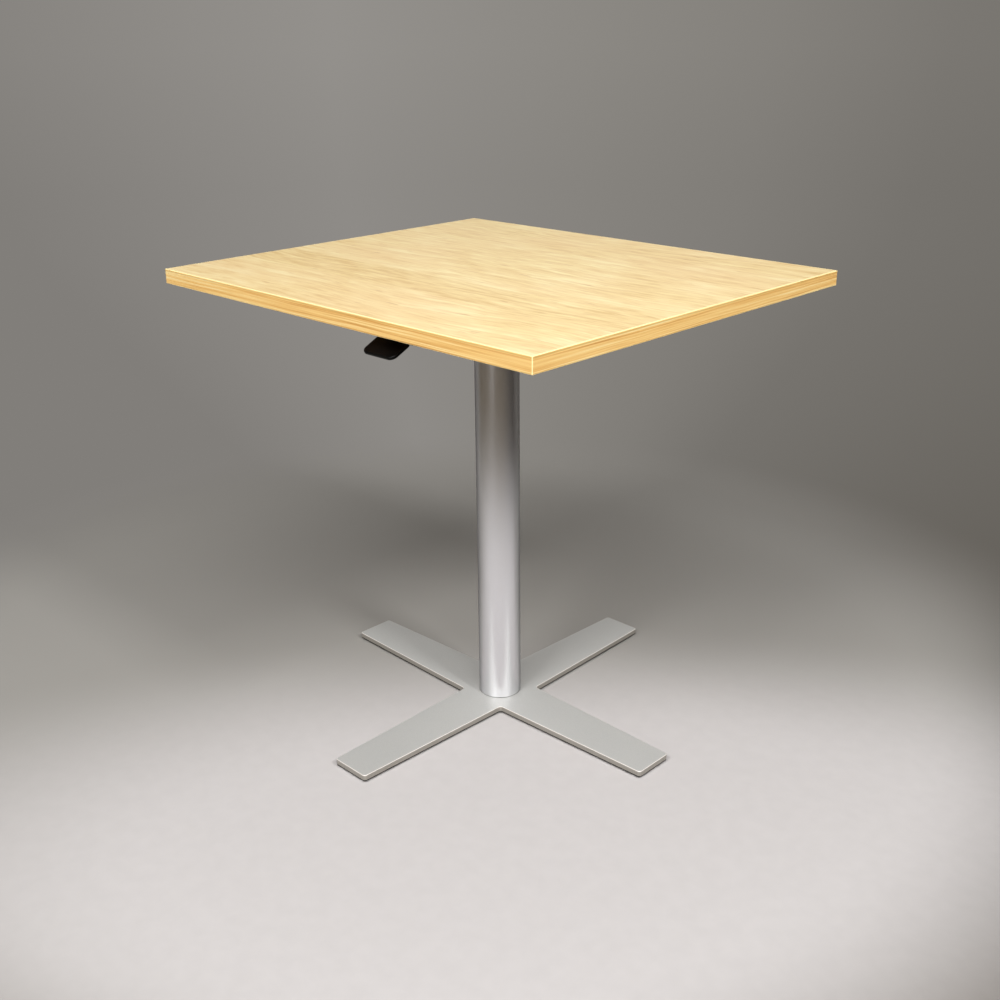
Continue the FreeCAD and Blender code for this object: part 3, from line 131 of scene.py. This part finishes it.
# ================================================================ material building
class Finish:
    """A procedural material: one Principled shader and the nodes that feed it.

    Noise scales and stretches are per metre.
    """

    def __init__(self, name, **constants):
        self.material = bpy.data.materials.new(name)
        self.material.use_nodes = True
        self.tree = self.material.node_tree
        self.shader = self.tree.nodes["Principled BSDF"]
        for socket, value in constants.items():
            self.feed(self.shader.inputs[socket.replace("_", " ")], value)
        self.here = self.add("TexCoord").outputs["Object"]

    def feed(self, socket, value):
        if isinstance(value, bpy.types.NodeSocket):
            self.tree.links.new(value, socket)
        else:
            socket.default_value = value

    def add(self, kind, inputs=(), **settings):
        node = self.tree.nodes.new("ShaderNode" + kind)
        for key, value in settings.items():
            setattr(node, key, value)
        for key, value in dict(inputs).items():
            self.feed(node.inputs[key], value)
        return node

    # ------------------------------------------------ numbers
    def calc(self, operation, first, second=0.0):
        return self.add("Math", {0: first, 1: second}, operation=operation).outputs[0]

    def weighted(self, *parts):
        """Sum of values, each times its share."""
        products = [self.calc("MULTIPLY", value, share) for share, value in parts]
        total = products[0]
        for product in products[1:]:
            total = self.calc("ADD", total, product)
        return total

    def varied(self, level, *parts):
        """A level that noises vary about it, each times its share."""
        middle = NOISE_MEAN * sum(share for share, noise in parts)
        return self.calc("ADD", self.weighted(*parts), level - middle)

    def spread(self, value, low, high, to_low=0.0, to_high=1.0):
        """Value from low to high, clamped and mapped to the new range."""
        node = self.add("MapRange", {
            "Value": value, "From Min": low, "From Max": high,
            "To Min": to_low, "To Max": to_high})
        return node.outputs["Result"]

    def smooth(self, value, low, high):
        """0 below low, 1 above high, with an even curve between."""
        node = self.add("MapRange", {"Value": value, "From Min": low, "From Max": high},
                        interpolation_type="SMOOTHSTEP")
        return node.outputs["Result"]

    def from_noise(self, value, to_low=0.0, to_high=1.0):
        """A noise's usual range, mapped to the new one."""
        return self.spread(value, NOISE_LOW, NOISE_HIGH, to_low, to_high)

    # ------------------------------------------------ places and directions
    def axis(self, letter, vector=None):
        split = self.add("SeparateXYZ", {0: vector or self.here})
        return split.outputs[letter]

    def join(self, x=0.0, y=0.0, z=0.0):
        return self.add("CombineXYZ", {0: x, 1: y, 2: z}).outputs[0]

    def stretched(self, x, y, z, vector=None):
        """Place in metres, multiplied along each axis."""
        node = self.add("VectorMath", {0: vector or self.here, 1: (x, y, z)}, operation="MULTIPLY")
        return node.outputs[0]

    def length(self, vector):
        return self.add("VectorMath", {0: vector}, operation="LENGTH").outputs["Value"]

    def share_along(self, vector, way):
        node = self.add("VectorMath", {0: vector, 1: way}, operation="DOT_PRODUCT")
        return node.outputs["Value"]

    def local_normal(self, letter):
        """How far the surface faces along one of the piece's own axes, -1 to 1."""
        normal = self.add("NewGeometry").outputs["Normal"]
        local = self.add(
            "VectorTransform", {0: normal}, vector_type="NORMAL",
            convert_from="WORLD", convert_to="OBJECT").outputs[0]
        return self.axis(letter, local)

    def edge_share(self):
        """0 on faces square to the axes, rising to 1 over a rounded edge between them."""
        x, y, z = (self.calc("ABSOLUTE", self.local_normal(letter)) for letter in "XYZ")
        widest = self.calc("MAXIMUM", self.calc("MAXIMUM", x, y), z)
        return self.spread(widest, SQUARE_ON, 0.86)

    # ------------------------------------------------ patterns and colours
    def noise(self, vector, scale, detail=2.0, roughness=0.5, distortion=0.0):
        node = self.add("TexNoise", {
            "Vector": vector, "Scale": scale, "Detail": detail,
            "Roughness": roughness, "Distortion": distortion})
        return node.outputs["Fac"]

    def ramp(self, value, *stops):
        node = self.add("ValToRGB", {"Fac": value})
        marks = node.color_ramp.elements
        marks[0].position, marks[0].color = stops[0]
        marks[1].position, marks[1].color = stops[-1]
        for position, colour in stops[1:-1]:
            marks.new(position).color = colour
        return node.outputs["Color"]

    def mix(self, share, first, second, blend="MIX"):
        node = self.add("Mix", data_type="RGBA", blend_type=blend)
        for index, value in ((MIX_SHARE, share), (MIX_FIRST, first), (MIX_SECOND, second)):
            self.feed(node.inputs[index], value)
        return node.outputs[MIX_RESULT]

    # ------------------------------------------------ what the shader gets
    def colour(self, value):
        self.feed(self.shader.inputs["Base Color"], value)

    def roughness(self, value):
        self.feed(self.shader.inputs["Roughness"], value)

    def relief(self, height, depth):
        """Bump from a 0 to 1 height that stands for depth in metres."""
        node = self.add("Bump", {"Height": height, "Distance": depth})
        self.feed(self.shader.inputs["Normal"], node.outputs["Normal"])


# ================================================================ wood looks
def strip_number(f):
    """A random 0 to 1 value for each printed strip, the strips lying along X."""
    row = f.add("VectorMath", {0: f.stretched(1.0, 1.0, 0.0), 1: STRIP_SHIFT}).outputs[0]
    strips = f.add("TexBrick", {
        "Vector": row, "Color1": grey(0.0), "Color2": grey(1.0), "Scale": 1.0,
        "Mortar Size": 0.0, "Brick Width": STRIP_LENGTH, "Row Height": STRIP_WIDTH},
        offset=STRIP_STAGGER)
    return f.axis("X", strips.outputs["Color"])


def laminate_maple():
    """Printed maple strips, grain along X, under a satin overlay."""
    f = Finish("laminate_maple", Specular_IOR_Level=0.4)
    strip = strip_number(f)
    sway = f.noise(f.stretched(1.2, 3.0, 1.0), 2.0, 2.0, 0.5)
    drift = f.calc("MULTIPLY", f.calc("SUBTRACT", sway, NOISE_MEAN), STRIP_DRIFT)
    apart = f.calc("MULTIPLY", strip, STRIP_APART)
    grain = f.join(f.axis("X"), f.calc("ADD", f.axis("Y"), f.calc("ADD", drift, apart)))

    def layer(along, across, detail, roughness):
        """Noise stretched per metre along and across the grain."""
        return f.noise(f.stretched(along, across, 1.0, grain), 1.0, detail, roughness)

    cloud = layer(6.0, 20.0, 4.0, 0.6)
    band = layer(5.0, 60.0, 3.0, 0.6)
    streak = layer(15.0, 150.0, 3.0, 0.62)
    pore = layer(18.0, 250.0, 1.0, 0.5)
    fleck = layer(26.0, 170.0, 1.0, 0.4)
    tone = f.calc("ADD", f.weighted((0.28, cloud), (0.26, band), (0.46, streak)),
                  f.spread(strip, 0.0, 1.0, -0.03, 0.03))
    wood = f.ramp(
        tone,
        (0.40, srgb(222, 189, 129)), (0.47, srgb(235, 207, 149)),
        (0.53, srgb(242, 217, 160)), (0.61, srgb(249, 232, 180)))
    blush = f.calc("ADD", f.noise(f.stretched(1.5, 3.0, 1.0), 2.2, 2.0),
                   f.spread(strip, 0.0, 1.0, -0.10, 0.10))
    wood = f.mix(f.spread(blush, 0.40, 0.68, 0.0, 0.30), wood, srgb(238, 203, 154))
    wood = f.mix(f.spread(pore, 0.60, 0.74, 0.0, 0.40), wood, srgb(212, 172, 118))
    wood = f.mix(f.spread(fleck, 0.68, 0.80, 0.0, 0.65), wood, srgb(194, 148, 98))
    f.colour(wood)
    f.roughness(f.spread(cloud, 0.2, 0.8, 0.44, 0.38))
    f.relief(streak, 0.00003)
    return f.material


def edge_band_maple():
    """Edge banding: streaks along the band, painted highlight on its rounded edges, a joint line
    near its top.
    """
    f = Finish("edge_band_maple", Specular_IOR_Level=0.4)
    run = f.calc("ADD", f.axis("X"), f.axis("Y"))
    sway = f.noise(f.join(f.calc("MULTIPLY", run, 6.0)), 1.0, 2.0, 0.5)
    height = f.calc("ADD", f.axis("Z"), f.calc("MULTIPLY", sway, BAND_DRIFT))

    def layer(along, across, roughness):
        """Noise stretched per metre along the band and down it."""
        place = f.join(f.calc("MULTIPLY", run, along), f.calc("MULTIPLY", height, across))
        return f.noise(place, 1.0, 2.0, roughness)

    broad = layer(2.2, 300.0, 0.55)
    fine = layer(9.0, 780.0, 0.5)
    wood = f.ramp(
        f.weighted((0.62, broad), (0.38, fine)),
        (0.34, srgb(206, 148, 76)), (0.45, srgb(233, 184, 108)),
        (0.54, srgb(244, 204, 131)), (0.66, srgb(251, 228, 168)))
    depth = f.calc("SUBTRACT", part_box("edge_band_front")[1][2], f.axis("Z"))
    joint = f.calc(
        "MINIMUM", f.spread(depth, JOINT_START, JOINT_START + JOINT_FADE),
        f.spread(depth, JOINT_END, JOINT_END - JOINT_FADE))
    wood = f.mix(f.calc("MULTIPLY", joint, 0.55), wood, srgb(196, 160, 92))
    # Painted highlight: a lighter colour on the rounded edges and on faces that look up or down.
    level = f.spread(f.calc("ABSOLUTE", f.local_normal("Z")), 0.3, 0.8)
    painted_edge_highlight = f.calc("MULTIPLY", f.calc("MAXIMUM", f.edge_share(), level), 0.85)
    f.colour(f.mix(painted_edge_highlight, wood, srgb(253, 238, 180)))
    f.roughness(f.spread(broad, 0.2, 0.8, 0.46, 0.38))
    f.relief(fine, 0.00003)
    return f.material


def core_board():
    """Particle board: pale and dark chips of mixed size."""
    f = Finish("core_board", Roughness=0.85)
    chips = f.add("TexVoronoi", {"Vector": f.stretched(1.0, 1.0, 2.2), "Scale": 320.0})
    dust = f.noise(f.here, 900.0, 2.0)
    wood = f.mix(f.axis("X", chips.outputs["Color"]), srgb(196, 163, 115), srgb(226, 199, 152))
    f.colour(f.mix(f.spread(dust, 0.55, 0.75, 0.0, 0.6), wood, srgb(146, 112, 72)))
    f.relief(dust, 0.0002)
    return f.material


def backing_sheet():
    """Kraft balancing sheet under the top: matt, brown, faintly fibrous."""
    f = Finish("backing_sheet", Specular_IOR_Level=0.3)
    cloud = f.noise(f.stretched(1.0, 1.4, 1.0), 7.0, 3.0, 0.6)
    fibre = f.noise(f.stretched(60.0, 420.0, 1.0), 1.0, 3.0, 0.6)
    f.colour(f.ramp(
        f.weighted((0.5, cloud), (0.5, fibre)),
        (0.35, srgb(142, 104, 66)), (0.65, srgb(168, 128, 86))))
    f.roughness(f.from_noise(fibre, 0.62, 0.54))
    f.relief(fibre, 0.00003)
    return f.material


# ================================================================ metal looks
def powder_coat(name, base, metallic, roughness, peel, sparkle=0.0, painted_edge_light=None):
    """Sprayed and baked coat: orange peel, and flakes where it is a silver.

    peel is the orange peel's depth in metres, and sparkle is how much the flakes differ. The
    optional last argument is a function of the finish and its colour that paints highlights and
    shade on the edges.
    """
    f = Finish(name, Metallic=metallic)
    coarse = f.noise(f.here, 420.0, 2.0, 0.55)
    patch = f.noise(f.here, 5.0, 3.0, 0.5)
    flake = f.add("TexVoronoi", {"Vector": f.here, "Scale": 2400.0}).outputs["Color"]
    coat = f.mix(f.axis("X", flake), scaled(base, 1.0 - sparkle), scaled(base, 1.0 + sparkle))
    shade = f.from_noise(patch, 0.95, 1.0)
    coat = f.mix(1.0, coat, f.join(shade, shade, shade), blend="MULTIPLY")
    # Painted highlights and shade on the edges, where a function for them is given.
    f.colour(painted_edge_light(f, coat) if painted_edge_light else coat)
    f.roughness(f.from_noise(coarse, roughness - 0.03, roughness + 0.04))
    f.relief(coarse, peel)
    return f.material


def base_painted_light(f, coat):
    """Base plate: painted shade on its sides, painted highlight on the edge above, painted shadow
    at the foot.
    """
    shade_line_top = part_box("base_plate")[0][2] + PLATE_SHADOW_LINE
    up = f.local_normal("Z")
    painted_side_shade = f.spread(f.calc("ABSOLUTE", up), 0.5, 0.1)
    low = f.spread(f.axis("Z"), shade_line_top, shade_line_top - PLATE_SHADOW_LINE_FADE)
    # Painted shade: the upright sides get a darker colour.
    coat = f.mix(painted_side_shade, coat, srgb(161, 156, 148))
    # Painted shadow: a dark line along the foot of the sides.
    coat = f.mix(f.calc("MULTIPLY", painted_side_shade, low), coat, srgb(20, 18, 16))
    # Painted highlight on the rounded edge above the sides.
    painted_rim_highlight = f.calc("MINIMUM", f.spread(up, 0.2, 0.45), f.spread(up, SQUARE_ON, 0.95))
    return f.mix(painted_rim_highlight, coat, srgb(244, 239, 233))


def silver_lacquer():
    """Smooth silver lacquer on the column, darker at a slant, with a painted shade line at its
    foot.
    """
    f = Finish("column_silver", Metallic=0.87, Specular_Tint=grey(0.25))
    mist = f.noise(f.stretched(9.0, 9.0, 3.0), 1.0, 3.0, 0.5)
    # Painted shade: a dark line round the column's foot, where it stands on the base plate.
    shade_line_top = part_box("outer_tube")[0][2] + TUBE_SHADE_LINE
    joint = f.spread(f.axis("Z"), shade_line_top + TUBE_SHADE_LINE_FADE, shade_line_top)
    lacquer = f.mix(mist, srgb(226, 226, 228), srgb(234, 234, 238))
    f.colour(f.mix(joint, lacquer, srgb(122, 119, 115)))
    f.roughness(f.from_noise(mist, 0.285, 0.315))
    return f.material


def drawn_metal(name, base, roughness, lay, groove=0.00001):
    """Machined, drawn or extruded metal: lay is the fine lines' stretch, groove their depth."""
    f = Finish(name, Metallic=1.0)
    lines = f.noise(f.stretched(*lay), 1.0, 3.0, 0.6)
    smudge = f.noise(f.here, 14.0, 3.0, 0.55)
    f.colour(f.mix(f.from_noise(lines), scaled(base, 0.86), base))
    f.roughness(f.varied(roughness, (0.10, lines), (0.10, smudge)))
    f.relief(lines, groove)
    return f.material


def plated(name, base, roughness, tint):
    """Plated small parts: bright, with a faint second tint where the plating is thicker."""
    f = Finish(name, Metallic=1.0)
    bath = f.noise(f.here, 90.0, 3.0, 0.6)
    grit = f.noise(f.here, 1600.0, 2.0, 0.5)
    f.colour(f.mix(f.spread(bath, 0.35, 0.7), base, tint))
    f.roughness(f.from_noise(grit, roughness - 0.05, roughness + 0.07))
    f.relief(grit, 0.00001)
    return f.material


def die_cast():
    """Zinc die casting: dull grey skin with a soft grain."""
    f = Finish("zinc_rocker", Metallic=1.0)
    grain = f.noise(f.here, 1100.0, 3.0, 0.6)
    flow = f.noise(f.here, 60.0, 3.0, 0.6, distortion=1.0)
    f.colour(f.ramp(flow, (0.3, grey(0.36)), (0.7, grey(0.50))))
    f.roughness(f.from_noise(grain, 0.42, 0.58))
    f.relief(grain, 0.00005)
    return f.material


# ================================================================ plastics and rubber
def moulded(name, dark, light, roughness, grain_scale, grain_depth, specular=0.5):
    """Moulded or extruded polymer: fine spark-eroded grain, slightly worn in patches."""
    f = Finish(name, Specular_IOR_Level=specular)
    grain = f.noise(f.here, grain_scale, 2.0, 0.5)
    patch = f.noise(f.here, 35.0, 3.0, 0.5)
    f.colour(f.mix(f.from_noise(patch), dark, light))
    f.roughness(f.varied(roughness, (0.10, grain), (0.12, patch)))
    f.relief(grain, grain_depth)
    return f.material


def make_finishes():
    """Material for each of the record's slots."""
    turned = (3.0, 3.0, 900.0)  # fine lines round a piece that stands along Z
    extruded = (700.0, 700.0, 3.0)  # fine lines along Z
    stranded = (900.0, 300.0, 900.0)
    return {
        "laminate_maple": laminate_maple(),
        "edge_band_maple": edge_band_maple(),
        "core_board": core_board(),
        "backing_sheet": backing_sheet(),
        "base_silver": powder_coat(
            "base_silver", srgb(205, 205, 202), metallic=0.38, roughness=0.50,
            peel=0.00003, sparkle=0.06, painted_edge_light=base_painted_light),
        "column_silver": silver_lacquer(),
        "hub_steel": powder_coat(
            "hub_steel", grey(0.50), metallic=0.55, roughness=0.42, peel=0.00004, sparkle=0.10),
        "black_steel": powder_coat(
            "black_steel", grey(0.022), metallic=0.0, roughness=0.48, peel=0.00006),
        "inner_aluminium": drawn_metal("inner_aluminium", grey(0.74), 0.28, extruded),
        "plain_steel": drawn_metal("plain_steel", grey(0.50), 0.36, turned),
        "polished_rod": drawn_metal("polished_rod", grey(0.72), 0.14, turned, groove=0.000002),
        "wire_steel": drawn_metal("wire_steel", grey(0.46), 0.34, stranded),
        "zinc_screws": plated("zinc_screws", srgb(196, 200, 206), 0.32, srgb(206, 202, 186)),
        "ferrule_metal": plated("ferrule_metal", srgb(200, 198, 190), 0.28, srgb(190, 184, 170)),
        "zinc_rocker": die_cast(),
        "paddle_black": moulded(
            "paddle_black", grey(0.0020), grey(0.0034), roughness=0.32,
            grain_scale=1500.0, grain_depth=0.00002, specular=0.16),
        "glide_nylon": moulded(
            "glide_nylon", grey(0.012), grey(0.020), roughness=0.50,
            grain_scale=900.0, grain_depth=0.00004),
        "guide_plastic": moulded(
            "guide_plastic", grey(0.014), grey(0.022), roughness=0.42,
            grain_scale=700.0, grain_depth=0.00002),
        "rubber_black": moulded(
            "rubber_black", grey(0.010), grey(0.016), roughness=0.66,
            grain_scale=1200.0, grain_depth=0.00003),
        "cable_black": moulded(
            "cable_black", grey(0.010), grey(0.016), roughness=0.34,
            grain_scale=500.0, grain_depth=0.00002),
    }


def dress_nodes(finishes):
    """Every CAD node gets the material of its slot in the record."""
    for part in frame["record"]["subparts"]:
        mesh = frame["nodes"][part["node"]].data
        for index in range(len(mesh.materials)):
            mesh.materials[index] = finishes[part["material_slot"]]


# ================================================================ studio
def backdrop_light(f):
    """The backdrop's own light: grey behind the table, and dark and brown in front of it."""
    way = f.add("VectorMath", {0: f.here}, operation="NORMALIZE").outputs[0]
    left = f.spread(f.share_along(way, LEFT_WAY), -1.0, 1.0)
    behind = f.ramp(
        left,
        (0.0, srgb(98, 94, 88)), (0.29, srgb(117, 114, 109)), (0.37, srgb(127, 124, 119)),
        (0.45, srgb(133, 130, 125)), (0.58, srgb(141, 138, 134)), (0.65, srgb(136, 133, 129)),
        (0.74, srgb(128, 125, 121)))
    ahead = f.ramp(
        left,
        (0.0, srgb(28, 24, 18)), (0.06, srgb(54, 47, 36)), (0.2, srgb(80, 70, 52)),
        (0.5, srgb(90, 78, 58)), (1.0, srgb(93, 82, 63)))
    in_front = f.smooth(f.share_along(way, FRONT_WAY), *FRONT_FADE)
    level = f.spread(f.axis("Z"), *GLOW_HEIGHTS, *GLOW_LEVELS)
    glow = f.add("Emission", {"Strength": level, "Color": f.mix(in_front, behind, ahead)})
    return glow.outputs[0]


def studio_paper():
    """Paper: painted light near the table, painted shade round it, glowing backdrop beyond, clear
    from below.
    """
    f = Finish("studio_paper", Roughness=0.9, Specular_IOR_Level=0.2)
    fibre = f.noise(f.here, 40.0, 2.0)
    paper = f.ramp(fibre, (0.3, srgb(196, 192, 191)), (0.7, srgb(199, 195, 194)))
    # Painted light: an oval pool where the paper keeps its lighter colour.
    painted_pool = f.add("Mapping", {
        "Vector": f.here, "Location": PAINTED_POOL_MIDDLE, "Rotation": (0.0, 0.0, PAINTED_POOL_TURN),
        "Scale": (PAINTED_POOL_HALF_LENGTH, PAINTED_POOL_HALF_WIDTH, 1.0)}, vector_type="TEXTURE")
    painted_falloff = f.smooth(f.length(painted_pool.outputs[0]), PAINTED_POOL_FADE_START, 1.0)
    # Painted shade: the paper is darker outside the pool.
    f.colour(f.mix(painted_falloff, paper, srgb(156, 153, 148)))
    away = f.add("VectorMath", {0: f.here, 1: BACKDROP_MIDDLE}, operation="DISTANCE")
    far = f.smooth(away.outputs["Value"], BACKDROP_START, BACKDROP_FULL)
    rays = f.add("LightPath")
    seen = f.calc("MAXIMUM", rays.outputs["Is Camera Ray"], rays.outputs["Is Glossy Ray"])
    seen = f.calc("MAXIMUM", seen, rays.outputs["Is Transmission Ray"])
    blend = f.add("MixShader", {
        0: f.calc("MULTIPLY", far, seen), 1: f.shader.outputs[0], 2: backdrop_light(f)})
    open_below = f.add("MixShader", {
        0: f.add("NewGeometry").outputs["Backfacing"], 1: blend.outputs[0],
        2: f.add("BsdfTransparent").outputs[0]})
    f.feed(f.tree.nodes["Material Output"].inputs["Surface"], open_below.outputs[0])
    return f.material


def bowl_mesh(name, profile):
    """Mesh of a profile of (radius, height) points turned about Z, the first one on the axis."""
    points = [(0.0, 0.0, profile[0][1])]
    for radius, height in profile[1:]:
        for side in range(WALL_SIDES):
            angle = 2 * math.pi * side / WALL_SIDES
            points.append((radius * math.cos(angle), radius * math.sin(angle), height))
    faces = []
    for side in range(WALL_SIDES):
        after = (side + 1) % WALL_SIDES
        faces.append((0, 1 + side, 1 + after))
        for ring in range(len(profile) - 2):
            low = 1 + ring * WALL_SIDES
            high = low + WALL_SIDES
            faces.append((low + side, high + side, high + after, low + after))
    mesh = bpy.data.meshes.new(name)
    mesh.from_pydata(points, [], faces)
    mesh.shade_smooth()
    return mesh


def studio_floor():
    """Round floor with a cove and a wall all round."""
    profile = [(0.0, 0.0)]
    for step in range(COVE_STEPS + 1):
        angle = math.pi / 2 * step / COVE_STEPS
        profile.append((
            FLOOR_RADIUS + COVE_RADIUS * math.sin(angle),
            COVE_RADIUS * (1.0 - math.cos(angle))))
    profile.append((FLOOR_RADIUS + COVE_RADIUS, WALL_HEIGHT))
    mesh = bowl_mesh("studio_floor", profile)
    mesh.materials.append(studio_paper())
    floor = bpy.data.objects.new("studio_floor", mesh)
    bpy.context.scene.collection.objects.link(floor)


def aimed(place, target):
    """Matrix of a camera or lamp at place that looks at target."""
    turn = (target - place).to_track_quat("-Z", "Y")
    return Matrix.Translation(place) @ turn.to_matrix().to_4x4()


def softbox(name, heading, height, distance, side, watts):
    lamp = bpy.data.lights.new(name, "AREA")
    lamp.size = side
    lamp.energy = watts
    holder = bpy.data.objects.new(name, lamp)
    toward = direction(math.radians(heading), math.radians(height))
    holder.matrix_world = aimed(LAMP_TARGET + distance * toward, LAMP_TARGET)
    bpy.context.scene.collection.objects.link(holder)


def lights():
    """The softboxes and a faint warm light from all round."""
    for name, values in LAMPS.items():
        softbox(name, **values)
    world = bpy.data.worlds.new("studio_world")
    world.use_nodes = True
    background = world.node_tree.nodes["Background"]
    background.inputs["Color"].default_value = WORLD_TINT
    background.inputs["Strength"].default_value = WORLD_STRENGTH
    bpy.context.scene.world = world


def camera():
    """The photograph's viewpoint."""
    eye = bpy.data.cameras.new("camera")
    eye.lens = CAMERA_LENS
    holder = bpy.data.objects.new("camera", eye)
    ahead = CAMERA_PLACE + direction(CAMERA_HEADING, CAMERA_PITCH)
    holder.matrix_world = aimed(CAMERA_PLACE, ahead) @ Matrix.Rotation(CAMERA_ROLL, 4, "Z")
    bpy.context.scene.collection.objects.link(holder)
    bpy.context.scene.camera = holder


dress_nodes(make_finishes())
studio_floor()
lights()
camera()
bpy.context.scene.view_settings.view_transform = "Standard"
